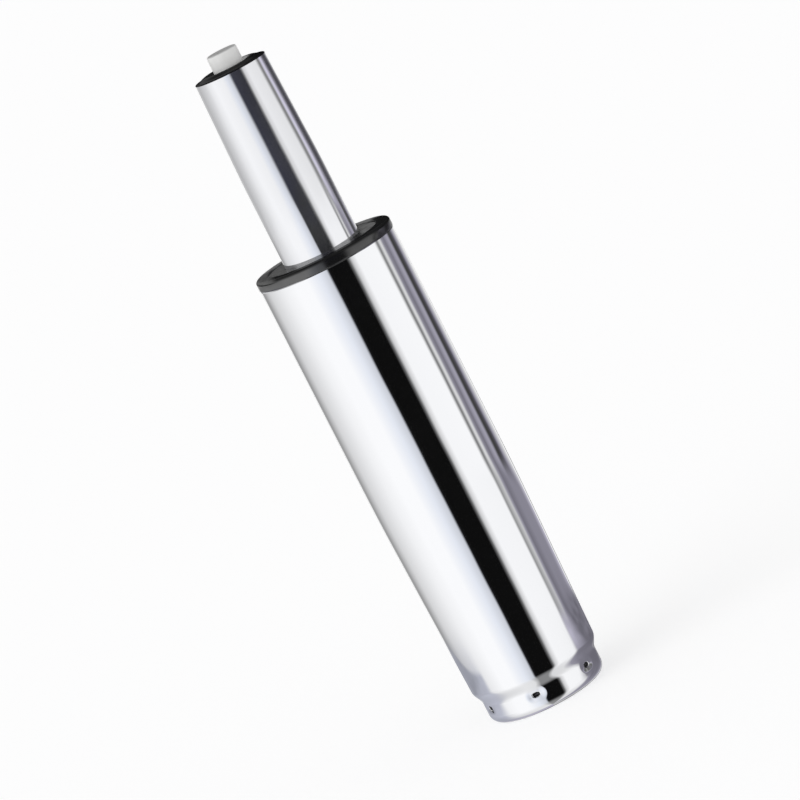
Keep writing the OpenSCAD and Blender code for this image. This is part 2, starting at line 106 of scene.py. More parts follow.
# %% [markdown]
# ## Drawing turned pieces
# Almost all of a gas lift is turned, drawn or moulded round one axis. By hand one would draw half of the
# section and spin it. The helper does the same: a small plane is merged to a single point, the point is
# extruded along the outline, and the chain is spun a full turn. Doubles along the seam are merged before
# the normals are set outwards.

# %% Helpers for sizes and arcs
MM = 0.001
mounts = {m["name"]: m for m in frame["record"]["mounts"]}


def size_of(node):
    """Radius, lowest and highest point of a round node, in millimetres."""
    low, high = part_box(node)
    return round(high.x / MM, 3), round(low.z / MM, 3), round(high.z / MM, 3)


def taper_span(mount):
    """Lowest and highest point of a taper, in millimetres, from the part's own mounts."""
    middle, length = mounts[mount]["pos_m"][2] / MM, mounts[mount]["dims"]["length_mm"]
    return middle - length / 2, middle + length / 2


def round_corner(centre_r, centre_z, radius, start, end, steps):
    """Points (radius, height) in millimetres along an arc, with both angles in degrees."""
    angles = [math.radians(start + (end - start) * i / steps) for i in range(steps + 1)]
    return [(centre_r + radius * math.cos(a), centre_z + radius * math.sin(a)) for a in angles]


for taper in ("lower_taper", "upper_taper"):
    print(taper, "spans", [round(z, 2) for z in taper_span(taper)], "mm")

# %% A helper that spins an outline
SMOOTH_ANGLE = math.radians(35)
SEAM_MERGE = 0.002 * MM


def spin_outline(name, outline, steps, closed=True):
    """A turned piece from an outline of (radius, height) points in millimetres."""
    bpy.ops.object.select_all(action="DESELECT")
    bpy.ops.mesh.primitive_plane_add(size=MM, location=(outline[0][0] * MM, 0, outline[0][1] * MM))
    piece = bpy.context.object
    piece.name = piece.data.name = name
    bpy.ops.object.mode_set(mode="EDIT")
    bpy.ops.mesh.merge(type="CENTER")
    path = outline + outline[:1] if closed else outline
    for (r0, z0), (r1, z1) in zip(path, path[1:]):
        step = ((r1 - r0) * MM, 0, (z1 - z0) * MM)
        bpy.ops.mesh.extrude_region_move(TRANSFORM_OT_translate={"value": step})
    bpy.ops.mesh.select_all(action="SELECT")
    bpy.ops.mesh.spin(steps=steps, angle=2 * math.pi, center=(0, 0, 0), axis=(0, 0, 1))
    bpy.ops.mesh.select_all(action="SELECT")
    bpy.ops.mesh.remove_doubles(threshold=SEAM_MERGE)
    bpy.ops.mesh.normals_make_consistent(inside=False)
    bpy.ops.object.mode_set(mode="OBJECT")
    bpy.ops.object.transform_apply(location=True, rotation=True, scale=True)
    bpy.ops.object.shade_smooth_by_angle(angle=SMOOTH_ANGLE)
    print(name, "has", len(piece.data.polygons), "faces")
    return piece


# %% [markdown]
# ## The column tube
# The column is a drawn and chromed steel tube, 50 mm across. Low down it narrows in a self-holding taper
# that wedges into the chair base, then it is necked in to a short band, and its edge is rolled under into a
# lip that holds the base plate. The section follows those bends. The start of the taper is eased over
# 20 mm, because a drawn tube has no sharp break there and chrome would show one at once.

# %% Sizes of the column tube
COLUMN_R, COLUMN_LOW, COLUMN_TOP = size_of("outer_tube")
TAPER_LOW, TAPER_TOP = taper_span("lower_taper")
TAPER_SLOPE = math.tan(math.radians(1.4378))
COLUMN_WALL, MOUTH_EDGE = 2.0, 0.25
NECK_DROP, NECK_IN, NECK_RISE = 0.6, 1.85, 5.2
NECK_TOP = TAPER_LOW - NECK_DROP
FOOT_R = COLUMN_R - (TAPER_TOP - NECK_TOP) * TAPER_SLOPE
BAND_R, BAND_TOP = FOOT_R - NECK_IN, NECK_TOP - NECK_RISE
FOOT_ROUND, LIP_R, LIP_BEVEL = 3.5, 14.5, 0.3
LIP_EDGE = ((0, 0.45), (0.12, 0.14), (0.45, COLUMN_LOW))
EASE, EASE_STEP = 10.0, 2


def column_radius(z):
    """Outside radius of the column above its neck, eased where the taper starts."""
    below = TAPER_TOP + EASE - z
    if below <= 0:
        return COLUMN_R
    if below >= 2 * EASE:
        return COLUMN_R - TAPER_SLOPE * (TAPER_TOP - z)
    return COLUMN_R - TAPER_SLOPE * below ** 2 / (4 * EASE)


print("column is", COLUMN_R, "mm in radius, and its band", round(BAND_R, 2))

# %% Spin the column tube
BAND_STEPS, NECK_STEPS = 20, 18
ROWS_OVER_NECK = (0.3, 0.8, 2, 6, 16, 31, 46, 52)
ROWS_UNDER_MOUTH = (76, 60, 40, 20, 6, 2, 0.7)
ROWS_INSIDE = (130, 90, 80, 70, 45, 20)
band_rows = [FOOT_ROUND + (BAND_TOP - FOOT_ROUND) * i / BAND_STEPS for i in range(1, BAND_STEPS)]
neck_shares = [i / NECK_STEPS for i in range(NECK_STEPS + 1)]
neck_rows = [(BAND_R + NECK_IN * u * u * (3 - 2 * u) + TAPER_SLOPE * NECK_RISE * u * u * (u - 1),
              BAND_TOP + NECK_RISE * u) for u in neck_shares]
tube_rows = ([NECK_TOP + rise for rise in ROWS_OVER_NECK]
             + [TAPER_TOP - EASE + EASE_STEP * i for i in range(round(2 * EASE / EASE_STEP) + 1)]
             + [COLUMN_TOP - drop for drop in ROWS_UNDER_MOUTH])
outside = ([(LIP_R + out, up) for out, up in LIP_EDGE]
           + round_corner(BAND_R - FOOT_ROUND, FOOT_ROUND, FOOT_ROUND, -90, 0, 16)
           + [(BAND_R, z) for z in band_rows]
           + neck_rows
           + [(column_radius(z), z) for z in tube_rows]
           + [(COLUMN_R, COLUMN_TOP - MOUTH_EDGE), (COLUMN_R - MOUTH_EDGE, COLUMN_TOP)])
inside = ([(COLUMN_R - COLUMN_WALL + MOUTH_EDGE, COLUMN_TOP),
           (COLUMN_R - COLUMN_WALL, COLUMN_TOP - MOUTH_EDGE)]
          + [(column_radius(z) - COLUMN_WALL, z) for z in ROWS_INSIDE]
          + [(r - COLUMN_WALL, z) for r, z in neck_rows[::-3]]
          + round_corner(BAND_R - FOOT_ROUND, FOOT_ROUND, FOOT_ROUND - COLUMN_WALL, 0, -90, 6)
          + [(LIP_R + LIP_BEVEL, COLUMN_WALL), (LIP_R, COLUMN_WALL - LIP_BEVEL)])
column_skin = spin_outline("column_skin", outside + inside, steps=480)

# %% [markdown]
# ## The stake dents
# Six dents round the band are struck with a punch to lock the base plate in. Each has a shallow flattened
# patch, wider than it is high, with the round mark of the punch tip in its middle. A boolean cut would give
# knife edges that chrome shows badly, so the metal is pushed in with proportional editing, which eases the
# rim as a real blow does.

# %% Press the dents into the band
DENT_COUNT, DENT_Z, DENT_ROW = 6, 6.7, 0.1
DENT_FLAT, FLAT_HALF, FLAT_REACH = 0.4, 1.5, 2.6
DENT_TIP, TIP_HALF, TIP_REACH = 1.0, 0.6, 0.75
OUTER_R = BAND_R - 0.9 * COLUMN_WALL


def press(piece, turn, half_width, depth, reach, falloff):
    """Pushes the band inwards at an angle. Sizes are in millimetres."""
    inwards = -Vector((math.cos(turn), math.sin(turn), 0))
    bpy.ops.object.mode_set(mode="EDIT")
    bpy.ops.mesh.select_mode(type="VERT")
    bpy.ops.mesh.select_all(action="DESELECT")
    bpy.ops.object.mode_set(mode="OBJECT")
    for v in piece.data.vertices:
        in_row = abs(v.co.z - DENT_Z * MM) < DENT_ROW * MM
        if in_row and math.hypot(v.co.x, v.co.y) > OUTER_R * MM:
            beside = math.atan2(v.co.y, v.co.x) - turn
            beside = math.atan2(math.sin(beside), math.cos(beside)) * BAND_R
            v.select = abs(beside) <= half_width
    picked = sum(v.select for v in piece.data.vertices)
    bpy.ops.object.mode_set(mode="EDIT")
    bpy.ops.transform.translate(value=inwards * depth * MM, use_proportional_edit=True,
                                use_proportional_connected=True, proportional_edit_falloff=falloff,
                                proportional_size=reach * MM)
    bpy.ops.object.mode_set(mode="OBJECT")
    return picked


bpy.ops.object.select_all(action="DESELECT")
column_skin.select_set(True)
bpy.context.view_layer.objects.active = column_skin
for i in range(DENT_COUNT):
    turn = 2 * math.pi * i / DENT_COUNT
    flat = press(column_skin, turn, FLAT_HALF, DENT_FLAT, FLAT_REACH, "SMOOTH")
    tip = press(column_skin, turn, TIP_HALF, DENT_TIP, TIP_REACH, "SPHERE")
print("dents pressed from", flat, "and", tip, "points each")

# %% [markdown]
# ## The gas spring cylinder
# The cylinder is a second chromed tube, 28 mm across, that slides in the column. Its lower end is rolled
# in, and its upper 38 mm taper by the same angle as the foot, to wedge into the seat mechanism. It is spun
# like the column.

# %% Spin the cylinder
CYLINDER_R, CYLINDER_LOW, CYLINDER_TOP = size_of("cylinder_tube")
SEAT_Z = taper_span("upper_taper")[0]
SEAT_EASE, CAP_SEAM = 5.0, CYLINDER_TOP - 0.1
CYLINDER_BORE, CYLINDER_LIP, CYLINDER_ROUND, END_WALL = 11.5, 8.5, 2, 2.5
CYLINDER_LIP_EDGE = ((0, 0.4), (0.12, 0.12), (0.4, 0))
SEAM_EDGE, BORE_ROW = 0.12, 120
PLAIN_ROWS, ROWS_UNDER_SEAT = (33, 60, 120, 160, 180), (9, 6)
ROWS_UNDER_CAP = (29, 20, 10, 3, 1.2, 0.5, 0.1)


def cylinder_radius(z):
    """Outside radius of the cylinder, eased where the seat taper starts."""
    above = z - SEAT_Z + SEAT_EASE
    if above <= 0:
        return CYLINDER_R
    if above >= 2 * SEAT_EASE:
        return CYLINDER_R - TAPER_SLOPE * (z - SEAT_Z)
    return CYLINDER_R - TAPER_SLOPE * above ** 2 / (4 * SEAT_EASE)


cylinder_rows = (list(PLAIN_ROWS) + [SEAT_Z - drop for drop in ROWS_UNDER_SEAT]
                 + [SEAT_Z - SEAT_EASE + i for i in range(round(2 * SEAT_EASE) + 1)]
                 + [CAP_SEAM - drop for drop in ROWS_UNDER_CAP])
cylinder_outline = ([(CYLINDER_LIP + out, CYLINDER_LOW + up) for out, up in CYLINDER_LIP_EDGE]
                    + round_corner(CYLINDER_R - CYLINDER_ROUND, CYLINDER_LOW + CYLINDER_ROUND,
                                   CYLINDER_ROUND, -90, 0, 8)
                    + [(cylinder_radius(z), z) for z in cylinder_rows]
                    + [(cylinder_radius(CYLINDER_TOP) - SEAM_EDGE, CAP_SEAM), (CYLINDER_BORE, CAP_SEAM),
                       (CYLINDER_BORE, BORE_ROW), (CYLINDER_BORE, CYLINDER_LOW + END_WALL),
                       (CYLINDER_LIP, CYLINDER_LOW + END_WALL)])
spin_outline("cylinder_skin", cylinder_outline, steps=360)

# %% [markdown]
# ## The collar
# A black plastic collar is plugged into the column's mouth. Above the tube it shows a plain wall with a
# soft upper edge and a broad rim, inside which the guide sleeve's disc lies half a millimetre lower.
# Moulded edges are never sharp, so all of its corners get small arcs in the outline.

# %% Spin the collar
COLLAR_R, SKIRT_LOW, COLLAR_TOP = size_of("collar_ring")
CLEARANCE, SKIRT_WALL, RIM_WIDTH = 0.1, 1.8, 4.8
SKIRT_R = COLUMN_R - COLUMN_WALL - CLEARANCE
SKIRT_BORE, COLLAR_BORE = SKIRT_R - SKIRT_WALL, COLLAR_R - RIM_WIDTH
COLLAR_ROUND, COLLAR_FOOT, BORE_ROUND = 1.2, 0.5, 0.25
SKIRT_EDGE_IN, SKIRT_EDGE_OUT = 0.3, 0.4
skirt = [(SKIRT_BORE, SKIRT_LOW + SKIRT_EDGE_IN), (SKIRT_BORE + SKIRT_EDGE_IN, SKIRT_LOW),
         (SKIRT_R - SKIRT_EDGE_OUT, SKIRT_LOW), (SKIRT_R, SKIRT_LOW + SKIRT_EDGE_OUT),
         (SKIRT_R, COLUMN_TOP - 0.3), (SKIRT_R + 0.2, COLUMN_TOP), (COLUMN_R - 0.8, COLUMN_TOP)]
bore = [(COLLAR_BORE, COLLAR_TOP - 0.6), (COLLAR_BORE, COLUMN_TOP - 1.8), (SKIRT_BORE, COLUMN_TOP - 3.6)]
collar_outline = (
    skirt
    + round_corner(COLLAR_R - COLLAR_FOOT, COLUMN_TOP + COLLAR_FOOT, COLLAR_FOOT, -90, 0, 6)
    + round_corner(COLLAR_R - COLLAR_ROUND, COLLAR_TOP - COLLAR_ROUND, COLLAR_ROUND, 0, 90, 12)
    + round_corner(COLLAR_BORE + BORE_ROUND, COLLAR_TOP - BORE_ROUND, BORE_ROUND, 90, 180, 5)
    + bore)
collar = spin_outline("collar", collar_outline, steps=360)

# %% [markdown]
# ## The end cap and the release button
# A black cap closes the cylinder's end and guides the pale button that the seat's lever presses. The cap
# starts as a thin rounded rim over the chrome, rises from there to a low crown round the button, and is
# dished inside the crown, so that the near side mirrors the dark low part of the room and the far side the
# light above it. The button is a plain moulded peg with a soft upper edge and a very slightly hollow face,
# which is what a moulding does when it shrinks. A flange under the cap keeps it in.

# %% Spin the cap
CAP_R, CAP_LOW, CAP_TOP = size_of("top_cap")
FLANGE_R, BUTTON_LOW, BUTTON_TOP = size_of("release_button")
FLANGE_W, FLANGE_T = 2.0, 2.0
BUTTON_R = FLANGE_R - FLANGE_W
BUTTON_BORE, PLUG_R = BUTTON_R + CLEARANCE, CYLINDER_BORE - CLEARANCE
RIM_W, RIM_H, RIM_STEPS = 0.6, 0.35, 6
CROWN_R, CROWN_STEPS = CAP_R - 4.3, 14
rim_low, crown_top, cap_middle = CAP_SEAM + 0.02, CAP_TOP + 0.85, CAP_TOP + 0.2
rim_top = rim_low + RIM_H
rim_turns = [math.pi / 2 * i / RIM_STEPS for i in range(RIM_STEPS + 1)]
crown_shares = [i / CROWN_STEPS for i in range(1, CROWN_STEPS + 1)]
cap_outline = (
    [(BUTTON_BORE, CAP_LOW), (PLUG_R, CAP_LOW), (PLUG_R, CAP_SEAM), (CAP_R - 0.1, CAP_SEAM)]
    + [(CAP_R - RIM_W * (1 - math.cos(a)), rim_low + RIM_H * math.sin(a)) for a in rim_turns]
    + [(CAP_R - RIM_W + (CROWN_R - CAP_R + RIM_W) * u,
        rim_top + (crown_top - rim_top) * u * u * (3 - 2 * u)) for u in crown_shares]
    + [(BUTTON_BORE + 0.3, cap_middle), (BUTTON_BORE + 0.1, cap_middle - 0.06),
       (BUTTON_BORE, cap_middle - 0.3)])
spin_outline("end_cap", cap_outline, steps=240)

# %% Spin the button
BUTTON_ROUND, FLANGE_EDGE = 0.8, 0.2
flange_top = BUTTON_LOW + FLANGE_T
flange = [(0, BUTTON_LOW), (FLANGE_R - FLANGE_EDGE, BUTTON_LOW), (FLANGE_R, BUTTON_LOW + FLANGE_EDGE),
          (FLANGE_R, flange_top - FLANGE_EDGE), (FLANGE_R - FLANGE_EDGE, flange_top),
          (BUTTON_R + FLANGE_EDGE, flange_top), (BUTTON_R, flange_top + FLANGE_EDGE)]
hollow_face = ((BUTTON_R - 1.1, 0.01), (BUTTON_R - 1.8, 0.05), (BUTTON_R / 3, 0.09), (0, 0.1))
button_outline = (
    flange
    + [(BUTTON_R, CAP_LOW + 3)]
    + round_corner(BUTTON_R - BUTTON_ROUND, BUTTON_TOP - BUTTON_ROUND, BUTTON_ROUND, 0, 90, 10)
    + [(r, BUTTON_TOP - sunk) for r, sunk in hollow_face])
spin_outline("button", button_outline, steps=160, closed=False)

# %% [markdown]
# ## Under the foot
# Seen from below, the rolled lip frames a dished steel plate, a washer and a stamped clip that hooks into a
# groove in the rod's end. The plate is pressed sheet with rounded bends, so it is spun from an outline with
# arcs. The clip is cut from a disc: a slot, two side notches and one rear notch, with its stamped edges
# bevelled.

# %% Spin the base plate
HOLE_R, HOLE_EDGE, PLATE_R = 4.06, 0.2, 19.393
DISH_LOW, DISH_TOP, BRIM_LOW, BRIM_TOP = 7.0, 10.0, 2.0, 5.0
BEND_UNDER, BEND_OVER, BEND_TURN = 1.0, 0.6, 22
DISH_BEND_UNDER, BRIM_BEND_UNDER, DISH_BEND_OVER, BRIM_BEND_OVER = 9.6, 13.4, 12.4, 15.2
plate_outline = (
    [(HOLE_R, DISH_LOW + HOLE_EDGE), (HOLE_R + HOLE_EDGE, DISH_LOW), (DISH_BEND_UNDER, DISH_LOW)]
    + round_corner(DISH_BEND_UNDER, DISH_LOW - BEND_UNDER, BEND_UNDER, 90, BEND_TURN, 6)
    + round_corner(BRIM_BEND_UNDER, BRIM_LOW + BEND_UNDER, BEND_UNDER, 180 + BEND_TURN, 270, 6)
    + [(17.993, BRIM_LOW), (19.3, 3.5), (PLATE_R, 3.6), (PLATE_R, 4.8), (19.2, BRIM_TOP), (15.4, BRIM_TOP)]
    + round_corner(BRIM_BEND_OVER, BRIM_TOP + BEND_OVER, BEND_OVER, 270, 180 + BEND_TURN, 5)
    + round_corner(DISH_BEND_OVER, DISH_TOP - BEND_OVER, BEND_OVER, BEND_TURN, 90, 5)
    + [(HOLE_R + HOLE_EDGE, DISH_TOP), (HOLE_R, DISH_TOP - HOLE_EDGE)])
spin_outline("foot_plate", plate_outline, steps=192)

# %% Helpers that cut the clip
CLIP_Z, CLIP_T, CLIP_R = 4.25, 1.15, 7.4
CUTTER_LENGTH, CUTTER_SIDES = 4, 48
clip_middle = (CLIP_Z + CLIP_T / 2) * MM


def pick(piece):
    """Makes a piece the only one selected, and the active one."""
    bpy.ops.object.select_all(action="DESELECT")
    bpy.context.view_layer.objects.active = piece
    piece.select_set(True)


def cut_away(piece, cutter):
    """Takes the cutter's shape out of a piece and removes the cutter."""
    pick(piece)
    cut = piece.modifiers.new("cut", "BOOLEAN")
    cut.operation = "DIFFERENCE"
    cut.object = cutter
    cut.solver = "EXACT"
    bpy.ops.object.modifier_apply(modifier="cut")
    bpy.data.objects.remove(cutter)


def round_cutter(x, y, radius):
    """A short round bar through the clip."""
    bpy.ops.object.select_all(action="DESELECT")
    bpy.ops.mesh.primitive_cylinder_add(vertices=CUTTER_SIDES, radius=radius * MM, depth=CUTTER_LENGTH * MM,
                                        location=(x * MM, y * MM, clip_middle))
    return bpy.context.object


print("clip lies", CLIP_Z, "mm above the floor")

# %% Cut the clip from a disc
CLIP_BORE, NOTCH_R, SLOT_WIDTH, STAMPED_EDGE = 3.1, 1.48, 6.2, 0.18
clip = round_cutter(0, 0, CLIP_R)
clip.name = clip.data.name = "spring_clip"
clip.scale.z = CLIP_T / CUTTER_LENGTH
bpy.ops.object.transform_apply(location=True, rotation=True, scale=True)
cut_away(clip, round_cutter(0, 0, CLIP_BORE))
for x, y in ((-CLIP_R, 0), (CLIP_R, 0), (0, -CLIP_R)):
    cut_away(clip, round_cutter(x, y, NOTCH_R))
bpy.ops.object.select_all(action="DESELECT")
bpy.ops.mesh.primitive_cube_add(size=MM, location=(0, CLIP_R * MM, clip_middle))
bpy.context.object.scale = (SLOT_WIDTH, 2 * CLIP_R, CUTTER_LENGTH)
bpy.ops.object.transform_apply(location=True, rotation=True, scale=True)
cut_away(clip, bpy.context.object)
pick(clip)
bevel = clip.modifiers.new("stamped edge", "BEVEL")
bevel.width = STAMPED_EDGE * MM
bevel.segments = 2
bevel.limit_method = "ANGLE"
bevel.angle_limit = math.radians(50)
bpy.ops.object.modifier_apply(modifier="stamped edge")
bpy.ops.object.shade_smooth_by_angle(angle=SMOOTH_ANGLE)
print("clip has", len(clip.data.polygons), "faces")

# %% [markdown]
# ## Riding and replacing
# Each new piece rides on the body of the node that it stands for, takes that node's material slot, and
# hides the node. The hidden nodes stay in the simulation as they are.

# %% Tie the new pieces to the frame
slot_of = {s["node"]: s["material_slot"] for s in frame["record"]["subparts"]}
stands_for = {"column_skin": "outer_tube", "collar": "collar_ring", "foot_plate": "base_plate",
              "cylinder_skin": "cylinder_tube", "end_cap": "top_cap", "button": "release_button",
              "spring_clip": "retaining_clip"}
shown = {}
for piece_name, node_name in stands_for.items():
    piece = bpy.data.objects[piece_name]
    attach(piece, nodes[node_name]["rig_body"])
    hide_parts(node_name)
    shown[piece_name] = slot_of[node_name]
for node_name in nodes:
    if node_name not in stands_for.values():
        shown[node_name] = slot_of[node_name]
print(len(stands_for), "new pieces,", len(shown) - len(stands_for), "nodes kept as they are")

# %% [markdown]
# ## Writing shaders as sums
# A finish is easier to read as a sum than as a tangle of wires. The class below wraps one output of a
# shader node, and Python's own operators on it add Math nodes. One method adds every other kind of node.

# %% A wrapped socket


class Wire:
    """One output of a node in a shader tree, or the bare tree when it has no socket yet."""

    def __init__(self, tree, socket=None):
        self.tree, self.socket = tree, socket

    def node(self, kind, settings=None, sockets=None, out=0):
        """Adds a node. Its settings come first, then the values or wires of its sockets."""
        made = self.tree.nodes.new(kind)
        for name, value in (settings or {}).items():
            if name == "stops":
                ends = made.color_ramp.elements
                ends[0].position, ends[0].color = value[0]
                ends[1].position, ends[1].color = value[-1]
                for place, colour in value[1:-1]:
                    ends.new(place).color = colour
            else:
                setattr(made, name, value)
        for name, value in (sockets or {}).items():
            if isinstance(value, Wire):
                self.tree.links.new(value.socket, made.inputs[name])
            else:
                made.inputs[name].default_value = value
        return Wire(self.tree, made.outputs[out])

    def sum(self, operation, a, b):
        return self.node("ShaderNodeMath", {"operation": operation}, {0: a, 1: b})

    def __add__(self, other):
        return self.sum("ADD", self, other)

    def __radd__(self, other):
        return self.sum("ADD", other, self)

    def __sub__(self, other):
        return self.sum("SUBTRACT", self, other)

    def __rsub__(self, other):
        return self.sum("SUBTRACT", other, self)

    def __mul__(self, other):
        return self.sum("MULTIPLY", self, other)

    def __rmul__(self, other):
        return self.sum("MULTIPLY", other, self)

    def __truediv__(self, other):
        return self.sum("DIVIDE", self, other)

    def __rtruediv__(self, other):
        return self.sum("DIVIDE", other, self)

    def mix(self, first, second):
        """Goes from the first colour to the second as this wire goes from 0 to 1."""
        return self.node("ShaderNodeMix", {"data_type": "RGBA"}, {0: self, 6: first, 7: second}, out=2)

    def ease(self, low, high, start=0.0, end=1.0):
        """Goes smoothly from start to end while this wire goes from low to high."""
        return self.node("ShaderNodeMapRange", {"interpolation_type": "SMOOTHSTEP"},
                         {"Value": self, "From Min": low, "From Max": high, "To Min": start, "To Max": end})


print("wires can be added, subtracted, multiplied, divided, mixed and eased")

# %% Helpers that start a finish


def new_finish(name):
    """An empty material, its tree as a bare wire, and its Principled shader."""
    material = bpy.data.materials.new(name)
    material.use_nodes = True
    tree = material.node_tree
    tree.nodes.clear()
    shader = tree.nodes.new("ShaderNodeBsdfPrincipled")
    output = tree.nodes.new("ShaderNodeOutputMaterial")
    tree.links.new(shader.outputs[0], output.inputs["Surface"])
    return material, Wire(tree), shader


def feed(shader, values):
    """Sets constants on the shader's own sockets and links wires to the ones that vary."""
    for name, value in values.items():
        if isinstance(value, Wire):
            value.tree.links.new(value.socket, shader.inputs[name])
        else:
            shader.inputs[name].default_value = value


def place(bare, scale=(1, 1, 1)):
    """Object coordinates in metres, stretched per axis."""
    spot = bare.node("ShaderNodeTexCoord", out="Object")
    return bare.node("ShaderNodeMapping", {"vector_type": "POINT"}, {"Vector": spot, "Scale": scale})


def height_in(bare):
    """Height above the floor, in metres."""
    return bare.node("ShaderNodeSeparateXYZ", {}, {0: place(bare)}, out="Z")


def off_axis(bare):
    """Distance from the lift's axis, in metres."""
    flat_place = place(bare, (1, 1, 0))
    return bare.node("ShaderNodeVectorMath", {"operation": "LENGTH"}, {0: flat_place}, out="Value")


def along(bare, direction):
    """Distance from the origin in a direction, in metres."""
    ends = {0: place(bare), 1: direction}
    return bare.node("ShaderNodeVectorMath", {"operation": "DOT_PRODUCT"}, ends, out="Value")


def grain(bare, scale, size, detail):
    """Noise of a given size, with its mean near a half."""
    return bare.node("ShaderNodeTexNoise", {}, {"Vector": place(bare, scale), "Scale": size,
                                                "Detail": detail, "Roughness": 0.55})


def relief(bare, height, strength, depth):
    """A bump whose depth is in metres."""
    bump = {"Height": height, "Strength": strength, "Distance": depth}
    return bare.node("ShaderNodeBump", {}, bump, out="Normal")


EVEN = (1, 1, 1)
print("finish helpers ready")

# %% [markdown]
# ## Chrome
# Chrome plate is a mirror with almost no colour of its own, so what one sees on it is the room. Two things
# keep it from looking like a computer's mirror: the drawn tube under the plate is not quite straight, which
# makes reflected edges waver a little, and the plate has faint wiped streaks that are a touch rougher.
# The bottoms of the dents are coloured dark and made rough, so they show dull and dark. The cylinder's
# plate is rubbed by the sleeve and carries a thin grease film, which lifts its darkest reflections to a
# blue grey.

# %% Chrome of the column
DENT_ZONE_LOW, DENT_ZONE_TOP, ZONE_FADE = 4.0, 9.0, 0.4
chrome, bare, shader = new_finish("column_chrome_plate")
waver = grain(bare, (1, 1, 0.35), 55, 2.0)
streaks = grain(bare, (1, 1, 0.06), 900, 2.0)
wiped = grain(bare, (1, 1, 0.5), 40, 4.0)
height = height_in(bare)
in_band = (height.ease((DENT_ZONE_LOW - ZONE_FADE) * MM, (DENT_ZONE_LOW + ZONE_FADE) * MM)
           * height.ease((DENT_ZONE_TOP + ZONE_FADE) * MM, (DENT_ZONE_TOP - ZONE_FADE) * MM))
flat_r = BAND_R - DENT_FLAT
# The bottoms of the dents are coloured dark and made rough.
dark_dent_bottom = in_band * off_axis(bare).ease((flat_r - 0.06) * MM, (flat_r - 0.22) * MM)
plate = wiped.mix((0.79, 0.795, 0.815, 1), (0.81, 0.815, 0.83, 1))
feed(shader, {
    "Base Color": dark_dent_bottom.mix(plate, (0.075, 0.075, 0.08, 1)),
    "Metallic": 1.0,
    "Roughness": 0.022 + 0.022 * wiped.ease(0.42, 0.7) + 0.012 * streaks + 0.4 * dark_dent_bottom,
    "Normal": relief(bare, waver, 0.25, 0.0004),
})
print("made", chrome.name)

# %% Chrome of the cylinder
grease_chrome, bare, shader = new_finish("cylinder_chrome_plate")
waver = grain(bare, (1, 1, 0.3), 90, 2.0)
film = grain(bare, (1, 1, 0.25), 70, 2.0)
rub = grain(bare, (1, 1, 0.02), 1500, 2.0)
feed(shader, {
    "Base Color": film.mix((0.77, 0.775, 0.80, 1), (0.80, 0.805, 0.825, 1)),
    "Metallic": 0.955 - 0.03 * film.ease(0.35, 0.7),
    "Roughness": 0.022 + 0.02 * film.ease(0.4, 0.7) + 0.012 * rub,
    "Normal": relief(bare, waver, 0.25, 0.0003),
})
print("made", grease_chrome.name)

# %% [markdown]
# ## Black and grey plastic
# The collar is a shiny moulding, so its wall mirrors the same dark and light bands as the chrome, only much
# fainter. The shine is a clear coat on the wall and on the cap's face, a little worn on one half of the
# wall, and the mould leaves a very fine bloom, which shows as small changes of gloss. A painted highlight,
# a lighter grey, lies on the far part of the collar's rim and near its ends. The cap is the same plastic.
# The guide sleeve, whose disc lies inside the collar's rim, is a plainer moulding that mirrors the foot of
# the cylinder, and painted light, a lighter grey, lies on both sides of its disc. The collar is kept out of
# mirror rays, so that the cylinder's chrome stays bright right down to it.

# %% Black plastic of the collar and the cap
# A lighter grey painted on as painted light: a painted highlight on the collar's rim, and painted light on
# the sleeve's disc.
PAINTED_LIGHT_GREY = (0.28, 0.28, 0.277, 1)
black_plastic, bare, shader = new_finish("moulded_black_plastic")
bloom = grain(bare, EVEN, 260, 5.0)
pores = grain(bare, EVEN, 2600, 2.0)
height = height_in(bare)
wall = height.ease((COLLAR_TOP - 0.3) * MM, (COLLAR_TOP - 1.3) * MM)
on_rim = (height.ease((COLLAR_TOP - 1.0) * MM, (COLLAR_TOP - 0.3) * MM)
          * height.ease((COLLAR_TOP + 2) * MM, (COLLAR_TOP + 1) * MM))
cap_edge = height.ease(COLLAR_TOP * MM, CAP_LOW * MM)
cap_face = cap_edge * off_axis(bare).ease((CROWN_R + 0.4) * MM, (CROWN_R - 0.4) * MM)
away, aside = along(bare, -towards), along(bare, sideways)
far_side = away.ease(-21 * MM, -13 * MM)
one_end = aside.ease(-18 * MM, -21 * MM)
other_end = aside.ease(14 * MM, 16 * MM) * aside.ease(20.5 * MM, 19 * MM) * away.ease(-28 * MM, -24 * MM)
# Painted highlight: the far part of the rim and its ends are painted a lighter grey.
painted_light = (0.03 + far_side + 0.5 * one_end + 0.6 * other_end) * on_rim * (0.4 + 0.9 * bloom)
worn = 1 - 0.45 * aside.ease(-9 * MM, -3 * MM)
clean = bloom.mix((0.005, 0.005, 0.0055, 1), (0.011, 0.011, 0.0115, 1))
feed(shader, {
    "Base Color": painted_light.mix(clean, PAINTED_LIGHT_GREY),
    "Roughness": 0.4 + 0.2 * bloom,
    "Specular IOR Level": 0.0,
    "Coat Weight": (0.12 + 0.88 * wall * worn + 0.04 * cap_edge + 0.74 * cap_face) * (0.9 + 0.2 * bloom),
    "Coat IOR": 2.0,
    "Coat Roughness": 0.15,
    "Normal": relief(bare, pores, 0.12, 0.00004),
})
collar.visible_glossy = False
print("made", black_plastic.name)

# %% Grey plastic of the guide sleeve
grey_plastic, bare, shader = new_finish("dull_grey_plastic")
patch_noise = grain(bare, EVEN, 340, 5.0)
pores = grain(bare, EVEN, 2200, 2.0)
aside = along(bare, sideways)
